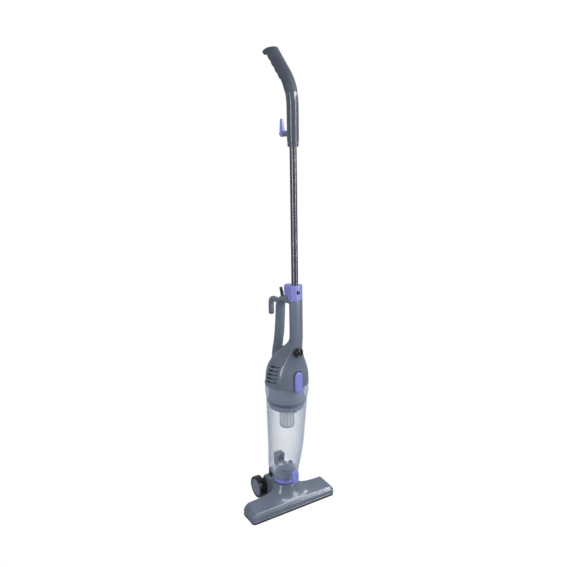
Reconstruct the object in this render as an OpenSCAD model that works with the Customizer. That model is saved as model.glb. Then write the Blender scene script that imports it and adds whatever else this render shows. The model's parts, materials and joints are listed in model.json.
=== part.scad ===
// Upright 2-in-1 stick vacuum: floor head, clear dust cup, hand-held motor unit and a wand with a bent grip.
// Millimetres. +Z up, front towards -Y, the floor head's long side along X.

/* [Floor head] */
// Length of the floor head along X
head_w = 250; // [230:1:270]
// Depth of the floor head's wings
head_d = 59; // [54:1:64]
// Height of the band round the head's foot
band_h = 19; // [16:1:22]
// Outer diameter of each wheel
wheel_d = 58; // [50:1:62]
// Width of each wheel
wheel_w = 18; // [14:1:22]
// Distance from the middle to each wheel's outer face
wheel_out = 60; // [58:1:66]

/* [Dust cup] */
// Outer diameter of the cup where it meets the motor unit
cup_rim_d = 110; // [108:1:112]
// Outer diameter of the cup near its foot
cup_low_d = 82; // [78:1:86]
// Wall of the clear cup
cup_wall = 2; // [1.6:0.1:2.6]
// Height of the cup's rim above the floor
cup_top = 350; // [348:1:352]

/* [Motor unit] */
// Widest diameter of the motor housing
body_d = 111; // [110:1:114]
// Wall of the housing shells
shell_wall = 2.5; // [2:0.1:3]
// Width of the neck, side to side
neck_w = 34; // [32:1:36]
// Thickness of the neck, front to back
neck_t = 21; // [20:1:22]

/* [Wand] */
// Outer diameter of the metal tube
tube_d = 16; // [14:0.5:18]
// Height where the handle starts
handle_z = 930; // [920:1:935]
// Outer diameter of the handle shells
handle_d = 26.8; // [26:0.2:28]
// Outer diameter of the soft grip
grip_d = 28.4; // [28:0.2:30]
// Lean of the grip from the vertical
grip_lean = 45; // [43:1:47]

/* [Hidden] */
$fn = 64;
hull_fn = 32;
eps = 0.01;
gap = 0.5;                              // clearance between bodies that part
fit = 0.06;                             // radial clearance of a running fit
screw_d = 3;                            // M3 screws throughout, but for the hook's M2.5
pilot_r = screw_d / 2 + 0.02;
sink_r = screw_d + 0.2;                 // room for a screw's head

y_tube = -65;                           // tube axis, in front of the middle
y_head = -55;                           // front edge of the head
y_spigot = -3;                          // axis of the head's spigot
y_wheel = 52;                           // wheel axle
y_filter = -19.2;                       // filter axis
y_motor = -20;                          // motor axis
y_body = -20.4;                         // middle of the housing at its widest
y_neck = -68.5;                         // middle of the neck

spigot_r = 21.5;
spigot_top = 90;
socket_r = spigot_r + gap;
seal_r = 0.95;                          // the seal ring's section
ring_z = 66;                            // foot of the cup, on the head's neck
ring_r = 30;
axle_r = 3;
wheel_r = wheel_d / 2;
wheel_in = wheel_out - wheel_w;
mid_head = y_head + head_d / 2;

// [height, middle in Y, radius] down the outside of the clear cup
cup_rim = [cup_top - 0.2, y_body, cup_rim_d / 2];
cup_belt = [330, y_body + 0.2, cup_rim_d / 2];
cup_neck = [312, -19.6, cup_rim_d / 2 - 2.6];
cup_mid = [175, -10.5, 46];
cup_low = [103, 2, cup_low_d / 2];
cup_foot = [ring_z + 10, y_spigot, ring_r];
cup_split = 126;                        // the cup is two nodes, so that its collision follows the hollow

collar_z0 = 574;
collar_z1 = 613;
switch_z = 447;
button_z = 368;
catch_z = 597;
head_button_z = 98;
bend_z = 1015;                          // start of the handle's bend
bend_r = 100;
hook_z = 958.5;
grip_y0 = y_tube + bend_r * (1 - cos(grip_lean));
grip_z0 = bend_z + bend_r * sin(grip_lean);
grip_len = 110;
cut_y = 18.8;                           // highest corner of the grip's end
cut_z = 1146;

slate = "#5b6472";
slate_dark = "#3e4550";
lilac = "#8a8fdc";
grey = "#8b929b";
black = "#17181b";
clear = "#cfe0ee";
steel = "#a9adb3";
tube_colour = "#54565a";
media = "#e9e6dc";
foam_colour = "#2c2f33";
lint_red = "#7d2f3a";

// ---------- shared shapes ----------

// thin disc used as one end of a hull
module station(s, grow = 0) {
  translate([0, s[1], s[0]]) cylinder(r = s[2] + grow, h = 0.2, $fn = 48);
}

module taper(a, b, grow = 0) {
  hull() { station(a, grow); station(b, grow); }
}

// rounded rectangle in the XY plane
module round_rect(w, d, r) {
  offset(r = r, $fn = hull_fn) square([w - 2 * r, d - 2 * r], center = true);
}

// flat oval with round ends, wider than it is deep
module stadium(w, d) {
  square([w - d, d], center = true);
  for (side = [-1, 1]) translate([side * (w - d) / 2, 0]) circle(d = d);
}

// rod along X, or along Y
module rod_x(r, x0, x1) { translate([x0, 0, 0]) rotate([0, 90, 0]) cylinder(r = r, h = x1 - x0); }
module rod_y(r, y0, y1) { translate([0, y0, 0]) rotate([-90, 0, 0]) cylinder(r = r, h = y1 - y0); }

module pipe(r_out, r_in, h) {
  difference() {
    cylinder(r = r_out, h = h);
    translate([0, 0, -1]) cylinder(r = r_in, h = h + 2);
  }
}

// side view (Y, Z) pushed out to both sides of the middle plane
module side_plate(half_w) {
  rotate([90, 0, 90]) translate([0, 0, -half_w]) linear_extrude(2 * half_w) children();
}

// compression spring along Y, as a stack of turns on one thin bar
module spring_y(r, wire, turns, length) {
  for (i = [0 : turns - 1])
    translate([0, i * length / turns + wire, 0]) rotate([-90, 0, 0])
      rotate_extrude($fn = 24) translate([r - wire, 0]) circle(r = wire, $fn = 16);
  translate([r - wire, wire, 0]) rod_y(wire * 0.8, 0, length * (turns - 1) / turns);
}

// pan-head screw pointing down
module screw(d, l) {
  cylinder(d = 2 * d, h = 0.6 * d, $fn = 24);
  translate([0, 0, -l]) cylinder(d = d, h = l + eps, $fn = 24);
}

// ---------- floor head ----------

module head_outline(inset) {
  translate([0, mid_head]) round_rect(head_w - 2 * inset, head_d - 2 * inset, 9 - inset / 2);
}

module head_wings(inset) {
  hull() {
    translate([0, 0, band_h]) linear_extrude(0.2) head_outline(2 + inset);
    translate([0, mid_head + 9, 34 - inset]) linear_extrude(0.2)
      round_rect(head_w - 26 - 2 * inset, 32 - 2 * inset, 8);
  }
  translate([0, 0, 5]) linear_extrude(band_h - 5 + 0.1) head_outline(1 + inset);
}

module head_neck(inset) {
  hull() {
    translate([0, -19, band_h]) linear_extrude(0.2) round_rect(126 - 2 * inset, 44 - 2 * inset, 14);
    translate([0, y_spigot, ring_z - 1 - inset]) cylinder(r = ring_r + 2 - inset, h = 0.2, $fn = 48);
  }
}

module head_pod(inset) {
  hull() {
    translate([0, 30, 10]) linear_extrude(0.2) round_rect(76 - 2 * inset, 80 - 2 * inset, 10);
    translate([0, 42, 54 - inset]) linear_extrude(0.2) round_rect(66 - 2 * inset, 40 - 2 * inset, 12);
    translate([0, y_spigot, ring_z - 1 - inset]) cylinder(r = ring_r + 2 - inset, h = 0.2, $fn = 48);
  }
}

module wheel_clearance() {
  for (side = [-1, 1])
    translate([side * (wheel_in + wheel_w / 2 + 3), y_wheel, wheel_r])
      rod_x(wheel_r + 3, -wheel_w / 2 - 4, wheel_w / 2 + 6);
}

module head_cover() {
  color(slate) difference() {
    union() { head_wings(0); head_neck(0); head_pod(0); }
    difference() {
      union() { head_wings(2.4); head_neck(2.4); head_pod(2.4); }
      for (p = screw_spots) translate([p[0], p[1], 0]) cylinder(r = 4, h = p[2]);
    }
    for (p = screw_spots) translate([p[0], p[1], 0]) cylinder(r = pilot_r, h = 14);
    wheel_clearance();
    translate([0, y_spigot, 40]) cylinder(r = spigot_r + 0.02, h = 40);
    linear_extrude(10.2, center = true) square([300, 300], center = true);
    translate([0, y_wheel, wheel_r]) rod_x(axle_r, -60, 60);
  }
}

module mouth(h) {
  translate([0, mid_head - 1, 0]) linear_extrude(h, center = true) round_rect(head_w - 36, 17, 6);
}

// [x, y, height of the boss that takes the screw]
screw_spots = [for (side = [-1, 1], p = [[100, mid_head - 21, 22.5], [100, mid_head + 21, 31.5], [26, 56, 53]])
  [side * p[0], p[1], p[2]]];

// the sole's outline: the head's foot and a tongue back to the wheels
module sole_outline() {
  head_outline(3);
  translate([0, 31]) round_rect(72, 74, 8);
}

module sole_plate() {
  color(slate_dark) difference() {
    union() {
      translate([0, 0, 2]) linear_extrude(3) sole_outline();
      translate([0, mid_head - 1, 4]) linear_extrude(8) round_rect(head_w - 30, 23, 8);
    }
    mouth(60);
    for (p = screw_spots) translate([p[0], p[1], 0]) cylinder(r = 1.6, h = 20, center = true);
  }
}

module bumper_strip() {
  color(black) difference() {
    linear_extrude(5) head_outline(0);
    translate([0, 0, -1]) linear_extrude(7) offset(delta = eps) sole_outline();
  }
}

// a row of tufts on each side of the mouth
module bristle_rows() {
  pitch = 7;
  gaps = floor((head_w - 60) / pitch);
  color(foam_colour)
    for (y = [mid_head - 12.5, mid_head + 10.5], i = [0 : gaps])
      translate([(i - gaps / 2) * pitch, y, 0]) cylinder(r = 1.5, h = 2, $fn = 8);
}

module lint_strips() {
  color(lint_red)
    for (y = [mid_head - 17.5, mid_head + 15.5])
      translate([0, y, 1.1]) cube([head_w - 60, 4, 1.8], center = true);
}

module spigot() {
  color(grey) difference() {
    union() {
      translate([0, y_spigot, 34]) cylinder(r = spigot_r, h = spigot_top - 34);
      translate([0, y_spigot, 34]) cylinder(r = spigot_r + 3, h = 4);
    }
    translate([0, y_spigot, 30]) cylinder(r = spigot_r - 2.2, h = 90);
    translate([0, y_spigot, spigot_top - 6]) pipe_groove();
  }
}

module pipe_groove() {
  translate([0, 0, -seal_r - 0.05]) difference() {
    cylinder(r = spigot_r + 1, h = 2 * seal_r + 0.1);
    translate([0, 0, -1]) cylinder(r = spigot_r - 1.5, h = 6);
  }
}

module spigot_seal() {
  color(black) translate([0, y_spigot, spigot_top - 6])
    rotate_extrude() translate([spigot_r - 1.48 + seal_r, 0]) circle(r = seal_r, $fn = 24);
}

module wheel_axle() {
  color(steel) translate([0, y_wheel, wheel_r]) rod_x(axle_r - 0.02, -wheel_out + 4, wheel_out - 4);
}

module head_screws() {
  color(steel) for (p = screw_spots) translate([p[0], p[1], 2]) mirror([0, 0, 1]) screw(screw_d, 8);
}

// side is -1 on the left, 1 on the right
module at_wheel(side) {
  translate([side * wheel_in, y_wheel, wheel_r]) rotate([0, 90 * side, 0]) children();
}

module wheel_tyre(side) {
  color(black) at_wheel(side) rotate_extrude()
    polygon([[wheel_r - 4, 0], [wheel_r - 1, 0], [wheel_r, 1.5], [wheel_r, wheel_w - 1.5],
             [wheel_r - 1, wheel_w], [wheel_r - 4, wheel_w]]);
}

module wheel_hub(side) {
  color(slate_dark) at_wheel(side) rotate_extrude()
    polygon([[axle_r + fit, 0], [8, 0], [8, 4], [wheel_r - 8, 4], [wheel_r - 8, 1], [wheel_r - 4, 1],
             [wheel_r - 4, wheel_w - 0.5], [wheel_r - 6, wheel_w - 0.5], [wheel_r - 6, wheel_w - 3],
             [8, wheel_w - 3], [8, wheel_w - 3.5], [axle_r + fit, wheel_w - 3.5]]);
}

module wheel_cap(side) {
  color(grey) at_wheel(side) rotate_extrude()
    polygon([[0, wheel_w - 3], [wheel_r - 6, wheel_w - 3], [wheel_r - 6, wheel_w - 1.4],
             [wheel_r - 7, wheel_w - 0.4], [0, wheel_w + 0.4]]);
}

// ---------- dust cup ----------

module cup() {
  difference() {
    union() {
      taper(cup_foot, cup_low);
      taper(cup_low, cup_mid);
      taper(cup_mid, cup_neck);
      taper(cup_neck, cup_belt);
      taper(cup_belt, cup_rim);
      translate([0, -40.5, head_button_z - 2]) cube([18, 21, 34], center = true);
    }
    difference() {
      union() {
        taper([cup_foot[0] + 1, cup_foot[1], cup_foot[2]], cup_low, -cup_wall);
        taper(cup_low, cup_mid, -cup_wall);
        taper(cup_mid, cup_neck, -cup_wall);
        taper(cup_neck, cup_rim, -cup_wall);
        translate([0, cup_rim[1], cup_top - 1]) cylinder(r = cup_rim[2] - cup_wall - 0.01, h = 5);
      }
      translate([0, y_spigot, ring_z]) cylinder(r = socket_r + 2.5, h = 29);
      translate([0, 0, ring_z]) cylinder(r = 80, h = 14);
      translate([0, -40.5, head_button_z - 2]) cube([18, 21, 34], center = true);
    }
    translate([0, y_spigot, ring_z - 1]) cylinder(r = socket_r, h = 27);
    translate([0, y_spigot, 85]) cylinder(r = 17, h = 14);
    translate([0, -47, head_button_z]) cube([13, 20, 40], center = true);
  }
}

module cup_shell() {
  color(clear, 0.35) intersection() {
    cup();
    translate([-100, -100, cup_split + eps]) cube([200, 200, 300]);
  }
}

module cup_base() {
  color(clear, 0.35) intersection() {
    cup();
    translate([-100, -100, 0]) cube([200, 200, cup_split]);
  }
}

module cup_foot_ring() {
  color(lilac) translate([0, y_spigot, ring_z]) pipe(ring_r, socket_r, 9.98);
}

module button_outline(w, h, waist) {
  difference() {
    offset(r = w / 2 - 0.5, $fn = hull_fn) square([1, h - w + 1], center = true);
    for (side = [-1, 1]) translate([side * (w / 2 + 40 - waist), 0]) circle(r = 40);
  }
}

module head_button() {
  color(lilac) translate([0, -54.5, head_button_z]) rotate([90, 0, 0]) {
    linear_extrude(4) button_outline(21, 38, 0.6);
    translate([0, 0, -5]) cylinder(r = 3, h = 5 + eps);
  }
}

module head_button_spring() {
  color(steel) translate([0, -54, head_button_z]) spring_y(5, 0.5, 4, 17);
}

module side_clips() {
  color(black) for (side = [-1, 1]) translate([side * 31, 17, 0]) {
    translate([0, 0, 86]) cube([7, 12, 22], center = true);
    translate([0, 0, 76]) cube([5, 9, 6], center = true);
  }
}

module inlet_duct() {
  color(grey) difference() {
    union() {
      translate([0, y_spigot, 95.2]) cylinder(r = 24, h = 8);
      translate([0, 25, 112]) cube([22, 18, 33.6], center = true);
      for (side = [-1, 1]) translate([side * 10, 14.2, 126.9]) cube([1.6, 4, 3.8], center = true);
    }
    translate([0, y_spigot, 90]) cylinder(r = 17, h = 11);
    translate([0, 12, 98.1]) cube([16, 26, 5.8], center = true);
    translate([0, 25, 111]) cube([18, 14, 31.6], center = true);
    translate([0, 16, 118]) cube([15, 6, 10], center = true);
    translate([0, 13.6, 127]) rod_x(0.92, -13, 13);
  }
}

module flap_pin() {
  color(steel) translate([0, 13.6, 127]) rod_x(0.9, -11, 11);
}

module inlet_flap() {
  color(foam_colour) difference() {
    union() {
      translate([0, 13.6, 127]) rod_x(1.9, -8, 8);
      translate([-8.5, 14.1, 111]) cube([17, 1.2, 15]);
    }
    translate([0, 13.6, 127]) rod_x(0.9 + fit, -12, 12);
  }
}

// ---------- filter ----------

module filter_base() {
  color(grey) translate([0, y_filter, 0]) difference() {
    union() {
      translate([0, 0, 286.5]) cylinder(r1 = 45, r2 = 46, h = 62);
      for (a = [35, 155, 275]) rotate(a) translate([30, -4, 279]) cube([8, 8, 9]);
    }
    translate([0, 0, 289]) cylinder(r = 41, h = 61);
    translate([0, 0, 280]) cylinder(r = 16.5, h = 12);
    translate([0, 0, 302]) rotate_extrude() translate([46, 0]) square([4, 6], center = true);
  }
}

module filter_seal() {
  color(black) translate([0, y_filter, 302]) rotate_extrude()
    polygon([[44.02, -2.9], [47.5, -2.9], [49.2, -1], [49.2, 0.6], [47.5, 2.9], [44.02, 2.9]]);
}

module filter_frame() {
  bars = 8;
  color(grey) translate([0, y_filter, 0]) {
    translate([0, 0, 227.8]) cylinder(r = 19.4, h = 3);
    translate([0, 0, 282.4]) pipe(19.4, 16, 4);
    for (i = [0 : bars - 1]) rotate((i + 0.5) * 360 / bars) translate([16.4, -1.2, 230]) cube([2.6, 2.4, 53]);
    for (z = [243, 256, 269]) translate([0, 0, z]) pipe(19, 16.2, 1.6);
  }
}

module filter_pleats() {
  pleats = 24;
  color(media) translate([0, y_filter, 230.9]) linear_extrude(51.4)
    polygon([for (i = [0 : 2 * pleats - 1])
      let (a = i * 180 / pleats, r = i % 2 == 0 ? 15.8 : 12) [r * cos(a), r * sin(a)]]);
}

// ---------- motor unit ----------

// D-handle in side view, with its opening
module handle_side(grow) {
  offset(delta = grow) difference() {
    offset(r = 6, $fn = hull_fn) offset(delta = -6)
      polygon([[y_neck, 577], [-34, 577], [-8, 571], [8, 567], [13, 556], [19, 495], [22, 478],
               [31, 430], [40, 392], [36, 370], [y_neck, 370]]);
    offset(r = 9, $fn = hull_fn) offset(delta = -9)
      polygon([[-58, 561], [-17, 561], [-9, 553], [-2, 495], [1, 478], [2, 456], [-6, 447],
               [-40, 447], [-58, 458]]);
  }
}

// motor bulb and neck
module body_solid(grow) {
  hull() {
    station([351, y_body, body_d / 2], grow);
    station([372, y_body - 0.3, body_d / 2 - 0.6], grow);
    station([392, y_body - 1.6, body_d / 2 - 3.6], grow);
    station([416, -28, 44], grow);
    translate([0, -52, 440]) cylinder(r = 24.5 + grow, h = 0.2, $fn = 48);
  }
  hull() {
    translate([0, -53, 436]) cylinder(r = 25 + grow, h = 0.2, $fn = 48);
    translate([0, y_neck, 468]) linear_extrude(0.2) stadium(neck_w + 2 * grow, neck_t + 2 * grow);
  }
  translate([0, y_neck, 446]) linear_extrude(131) stadium(neck_w + 2 * grow, neck_t + 2 * grow);
}

module button_pocket(grow) {
  translate([0, -70, button_z]) rotate([90, 0, 0]) linear_extrude(20)
    offset(delta = grow) button_outline(24, 55, 1.6);
}

// exhaust slots round each flank
module vents() {
  for (i = [0 : 4], side = [0, 1])
    mirror([side, 0, 0]) translate([0, y_body, 361.5 + i * 10.2]) rotate(-37)
      rotate_extrude(angle = 88) translate([38, 0]) square([24, 4]);
}

housing_screw_spots = [[-22, 568], [6, 520], [15, 452], [31, 402]];

module housing() {
  difference() {
    union() {
      body_solid(0);
      side_plate(12) handle_side(-4);
      side_plate(7) handle_side(0);
    }
    difference() {
      union() {
        translate([0, 0, -0.3]) body_solid(-shell_wall);
        side_plate(12 - shell_wall) handle_side(-4 - shell_wall);
        side_plate(7 - shell_wall) handle_side(-shell_wall);
      }
      translate([0, y_tube, 566]) cylinder(r = 30, h = 20);
      for (p = housing_screw_spots) translate([0, p[0], p[1]]) rod_x(4, -30, 30);
    }
    for (p = housing_screw_spots) translate([0, p[0], p[1]]) {
      rod_x(pilot_r, -7, 20);
      rod_x(sink_r, 10.2, 20);
    }
    translate([0, y_tube, 561.5]) cylinder(r = tube_d / 2 + 0.3, h = 60);
    translate([0, -70, switch_z]) rod_y(12.1, -20, 10);
    button_pocket(0.6);
    vents();
    translate([0, -10, 567]) rotate([-21, 0, 0]) cylinder(r = 4.2, h = 20, center = true);
    translate([0, 0, 300]) cube([200, 200, 102], center = true);
  }
}

module housing_left() {
  color(slate) intersection() { housing(); translate([-200.02, -150, 300]) cube([200, 300, 330]); }
}

module housing_right() {
  color(slate) intersection() { housing(); translate([0.02, -150, 300]) cube([200, 300, 330]); }
}

module motor_can() {
  color(steel) translate([0, y_motor, 0]) difference() {
    union() {
      translate([0, 0, 370]) cylinder(r = 27, h = 44);
      translate([0, 0, 414 - eps]) cylinder(r = 9, h = 7);
    }
    translate([0, 0, 364]) cylinder(r = 24, h = 46);
    translate([0, 0, 404]) cylinder(r = 4.06, h = 30);
  }
}

module fan_cowl() {
  color(steel) translate([0, y_motor, 355]) difference() {
    cylinder(r = 36, h = 15 - 0.02);
    translate([0, 0, 1.2]) cylinder(r = 34.8, h = 12.6);
    translate([0, 0, -1]) cylinder(r = 13, h = 4);
    translate([0, 0, 12]) cylinder(r = 8, h = 6);
  }
}

module motor_mounts() {
  color(black) translate([0, y_motor, 0]) {
    translate([0, 0, 352.2]) pipe(40, 30, 2.7);
    translate([0, 0, 415]) pipe(16, 9.02, 5);
  }
}

module rotor_shaft() {
  color(steel) translate([0, y_motor, 0]) {
    translate([0, 0, 357.5]) cylinder(r = 4, h = 68);
    translate([0, 0, 376]) cylinder(r = 15, h = 26);
  }
}

module impeller() {
  blades = 9;
  color(steel) translate([0, y_motor, 358]) {
    translate([0, 0, 8]) pipe(32, 4.02, 1);
    pipe(7, 4.02, 8 + eps);
    pipe(32, 14, 1);
    for (i = [0 : blades - 1]) rotate(i * 360 / blades) translate([14.5, 0, 1 - eps]) rotate(35)
      cube([14, 1, 7 + 2 * eps]);
  }
}

module exhaust_foam() {
  color(foam_colour) translate([0, y_motor, 380]) pipe(33.5, 28, 22);
}

module switch_bezel() {
  color(slate_dark) translate([0, 0, switch_z]) difference() {
    rod_y(12, -81, -72);
    rod_y(9.8, -90, -60);
  }
}

module power_button() {
  color(black) translate([0, 0, switch_z]) {
    difference() {
      rod_y(9.4, -81.4, -73);
      rod_y(6.4, -90, -80.4);
    }
    rod_y(4.6, -81, -80);
    rod_y(3, -73 - eps, -68);
  }
}

module power_button_spring() {
  color(steel) translate([0, -72.6, switch_z]) spring_y(6.5, 0.5, 3, 4);
}

module switch_body() {
  color(slate_dark) translate([0, -60, switch_z]) difference() {
    cube([18, 16, 20], center = true);
    rod_y(3.4, -20, -1);
  }
}

module cup_button() {
  color(lilac) translate([0, -78.4, button_z]) {
    rotate([90, 0, 0]) linear_extrude(2) button_outline(24, 55, 1.6);
    translate([0, -eps, 12]) rod_y(4, 0, 7);
  }
}

module cup_button_spring() {
  color(steel) translate([0, -78, button_z + 12]) spring_y(6, 0.5, 3, 6);
}

module collar() {
  color(lilac) difference() {
    translate([0, 0, collar_z0 - 10]) linear_extrude(collar_z1 - collar_z0 + 10) {
      translate([0, y_tube - 1.5]) stadium(34, 27);
      translate([0, y_tube + 11]) square([29, 22], center = true);
      translate([0, y_tube + 22]) stadium(29, 26);
    }
    translate([0, y_tube, collar_z0 - 20]) cylinder(r = tube_d / 2 + fit, h = 80);
    linear_extrude(577.3) translate([0, y_neck]) stadium(neck_w + 0.6, neck_t + 0.6);
    translate([0, y_neck + 40, 530]) cube([24.6, 80, 94.6], center = true);
    translate([0, y_tube + 20, collar_z1 + 27]) rod_x(34, -40, 40);
    translate([0, y_tube - 40, catch_z]) rod_y(4.4, 0, 36);
    translate([0, y_tube, collar_z0 - 4]) rotate([14, 0, 0]) translate([0, 30, -10]) cube([60, 100, 20], center = true);
  }
}

module tube_catch() {
  color(black) translate([0, 0, catch_z]) rod_y(4, y_tube - 15.6, y_tube - 10);
}

module tube_catch_spring() {
  color(steel) translate([0, y_tube - 9.8, catch_z]) spring_y(3.4, 0.3, 2, 1.6);
}

module cord_boot() {
  ribs = 6;
  color(black) translate([0, -10, 567]) rotate([-21, 0, 0]) difference() {
    union() {
      translate([0, 0, -4]) cylinder(r = 4.1, h = 12);
      translate([0, 0, 7.6]) cylinder(r1 = 3.9, r2 = 3.4, h = 21);
      for (i = [0 : ribs - 1]) translate([0, 0, 8.4 + i * 3.4]) cylinder(r = 4.6 - i * 0.12, h = 1.8);
    }
    translate([0, 0, -10]) cylinder(r = 2.9, h = 60);
  }
}

module fixed_cord_hook() {
  color(slate) side_plate(6) difference() {
    offset(r = 4, $fn = hull_fn) offset(delta = -4)
      polygon([[0, 562], [42, 563], [52, 556], [55, 543], [55, 512], [43, 512], [43, 542],
               [38, 549], [0, 549]]);
    handle_side(0.02);
    translate([-20, 540]) square([28, 40]);
  }
}

module housing_screws() {
  color(steel) for (p = housing_screw_spots)
    translate([10.2, p[0], p[1]]) rotate([0, 90, 0]) screw(screw_d, 16);
}

// ---------- wand ----------

module tube() {
  color(tube_colour) translate([0, y_tube, 562]) pipe(tube_d / 2, tube_d / 2 - 1, 414);
}

module on_grip() {
  translate([0, grip_y0, grip_z0]) rotate([-grip_lean, 0, 0]) children();
}

module on_bend(a) {
  translate([0, y_tube + bend_r, bend_z]) rotate([-a, 0, 0]) translate([0, -bend_r, 0]) children();
}

// round section carried round the bend and up the grip
module handle_top(r) {
  steps = 8;
  for (i = [0 : steps - 1]) hull()
    for (a = [i, i + 1]) on_bend(a * grip_lean / steps) cylinder(r = r, h = 0.02, $fn = 40);
  on_grip() cylinder(r = r, h = grip_len, $fn = 40);
}

module handle_sweep(r, z0) {
  translate([0, y_tube, z0]) cylinder(r = r, h = bend_z - z0 + eps, $fn = 40);
  handle_top(r);
}

// everything above the sloping cut at the grip's end
module grip_cut(drop) {
  translate([0, cut_y, cut_z - drop]) rotate([-8.2, 0, 0]) translate([-60, -90, 0]) cube([120, 200, 120]);
}

handle_screw_spots = [[y_tube, 992], [y_tube + 3, 1038]];

module handle_shells() {
  difference() {
    union() {
      difference() {
        handle_sweep(handle_d / 2, handle_z + 9.2);
        grip_cut(3);
        difference() {
          handle_sweep(handle_d / 2 - shell_wall, handle_z);
          grip_cut(6);
        }
      }
      translate([0, y_tube, 945]) cylinder(r = handle_d / 2 - 1, h = 27);
      for (p = handle_screw_spots) translate([0, p[0], p[1]]) rod_x(3.6, -11.5, 11.5);
    }
    for (p = handle_screw_spots) translate([0, p[0], p[1]]) {
      rod_x(pilot_r, -8, 20);
      rod_x(sink_r, 11.2, 20);
    }
    translate([0, y_tube, 900]) cylinder(r = tube_d / 2 + 0.02, h = 80);
    translate([0, y_tube, hook_z]) rod_y(5.02, 0, 40);
  }
}

module handle_left() {
  color(slate) intersection() { handle_shells(); translate([-100.02, -120, 900]) cube([100, 300, 300]); }
}

module handle_right() {
  color(slate) intersection() { handle_shells(); translate([0.02, -120, 900]) cube([100, 300, 300]); }
}

module handle_ring() {
  color(slate) translate([0, y_tube, handle_z]) difference() {
    cylinder(r1 = 12.2, r2 = 12.9, h = 9);
    translate([0, 0, -1]) cylinder(r = tube_d / 2 + 0.02, h = 12);
  }
}

// soft sleeve over the bent part, with finger scallops underneath and a lip at its end
module soft_grip() {
  scallops = 4;
  pitch = 21;
  keel_w = 9;
  color(slate_dark) difference() {
    union() {
      handle_top(grip_d / 2);
      on_grip() side_plate(keel_w) difference() {
        polygon([[0, -8], [17.4, 2], [17.4, 80], [19, 92], [27, 107], [24, 110], [0, 110]]);
        for (i = [0 : scallops - 1]) translate([17.4 + 11, 14 + i * pitch]) circle(r = 13);
      }
    }
    handle_top(handle_d / 2 + 0.01);
    translate([0, y_tube, bend_z - 38]) cube([80, 80, 140], center = true);
    grip_cut(0);
  }
}

module hook_stub() {
  color(slate) translate([0, 0, hook_z]) difference() {
    union() {
      rod_y(5, y_tube + 9.5, -29);
      rod_y(6.4, y_tube + 13.6, -33);
      rod_y(3, -29 - eps, -19);
    }
    rod_y(1.27, -40, -10);
  }
}

module swivel_hook() {
  color(lilac) difference() {
    union() {
      translate([0, 0, hook_z]) rod_y(7, -28.6, -17);
      hull() {
        translate([0, 0, hook_z - 1]) rod_y(6.2, -20, -14);
        translate([0, 0, hook_z + 30]) rod_y(3.6, -20, -15.5);
      }
    }
    translate([0, 0, hook_z]) rod_y(3 + fit, -30, -18.6);
    translate([0, 0, hook_z]) rod_y(1.6, -30, -10);
    translate([0, 0, hook_z]) rod_y(3.6, -15, 0);
  }
}

module hook_screw() {
  color(steel) translate([0, -15, hook_z]) rotate([-90, 0, 0]) screw(2.5, 14);
}

module handle_screws() {
  color(steel) for (p = handle_screw_spots)
    translate([11.2, p[0], p[1]]) rotate([0, 90, 0]) screw(screw_d, 16);
}

head_cover();
sole_plate();
bumper_strip();
bristle_rows();
lint_strips();
spigot();
spigot_seal();
wheel_axle();
head_screws();
wheel_tyre(-1);  // wheel_left_tyre
wheel_hub(-1);  // wheel_left_hub
wheel_cap(-1);  // wheel_left_cap
wheel_tyre(1);  // wheel_right_tyre
wheel_hub(1);  // wheel_right_hub
wheel_cap(1);  // wheel_right_cap
cup_shell();
cup_base();
cup_foot_ring();
head_button();
head_button_spring();
side_clips();
inlet_duct();
inlet_flap();
flap_pin();
filter_base();
filter_seal();
filter_frame();
filter_pleats();
housing_left();
housing_right();
motor_can();
fan_cowl();
motor_mounts();
rotor_shaft();
impeller();
exhaust_foam();
switch_bezel();
power_button();
power_button_spring();
switch_body();
cup_button();
cup_button_spring();
collar();
tube_catch();
tube_catch_spring();
cord_boot();
fixed_cord_hook();
housing_screws();
tube();
handle_ring();
handle_left();
handle_right();
soft_grip();
hook_stub();
swivel_hook();
hook_screw();
handle_screws();
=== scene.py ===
# %% [markdown]
# # A corded two-in-one stick vacuum
# The real thing is a moulded ABS machine: a T-shaped floor head on two rear wheels, a clear dust cup, a
# motor unit with a D-handle, and a thin steel wand with a bent, rubbery grip. The sizes and the moving
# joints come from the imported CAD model, which stays fixed. This script gives each visible part its
# finished surface.

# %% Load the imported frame
import json
import math

import bmesh
import bpy
from mathutils import Matrix, Vector


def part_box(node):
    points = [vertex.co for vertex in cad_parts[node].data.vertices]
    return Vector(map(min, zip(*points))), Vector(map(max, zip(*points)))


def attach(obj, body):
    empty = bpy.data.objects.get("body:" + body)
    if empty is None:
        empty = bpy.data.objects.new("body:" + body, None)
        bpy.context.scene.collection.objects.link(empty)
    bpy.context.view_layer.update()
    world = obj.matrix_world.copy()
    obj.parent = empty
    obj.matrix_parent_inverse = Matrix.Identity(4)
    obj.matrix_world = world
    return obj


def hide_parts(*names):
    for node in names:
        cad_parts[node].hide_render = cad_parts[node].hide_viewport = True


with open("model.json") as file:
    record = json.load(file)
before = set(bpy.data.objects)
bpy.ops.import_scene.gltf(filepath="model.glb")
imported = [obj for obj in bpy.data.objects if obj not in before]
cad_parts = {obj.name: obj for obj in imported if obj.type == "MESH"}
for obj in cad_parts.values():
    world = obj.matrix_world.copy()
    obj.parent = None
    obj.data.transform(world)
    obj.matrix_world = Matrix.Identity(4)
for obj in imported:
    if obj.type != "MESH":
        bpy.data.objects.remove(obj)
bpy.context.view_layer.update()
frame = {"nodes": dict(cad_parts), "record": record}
MM = 0.001
scene = bpy.context.scene
scene.view_settings.view_transform = "Standard"
X, Y, Z = range(3)


def middle(node, axis):
    """The middle of a CAD node's box along one axis, in millimetres."""
    low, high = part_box(node)
    return (low[axis] + high[axis]) / 2 / MM


def extent(node, axis):
    """The length of a CAD node's box along one axis, in millimetres."""
    low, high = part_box(node)
    return (high[axis] - low[axis]) / MM


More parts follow.
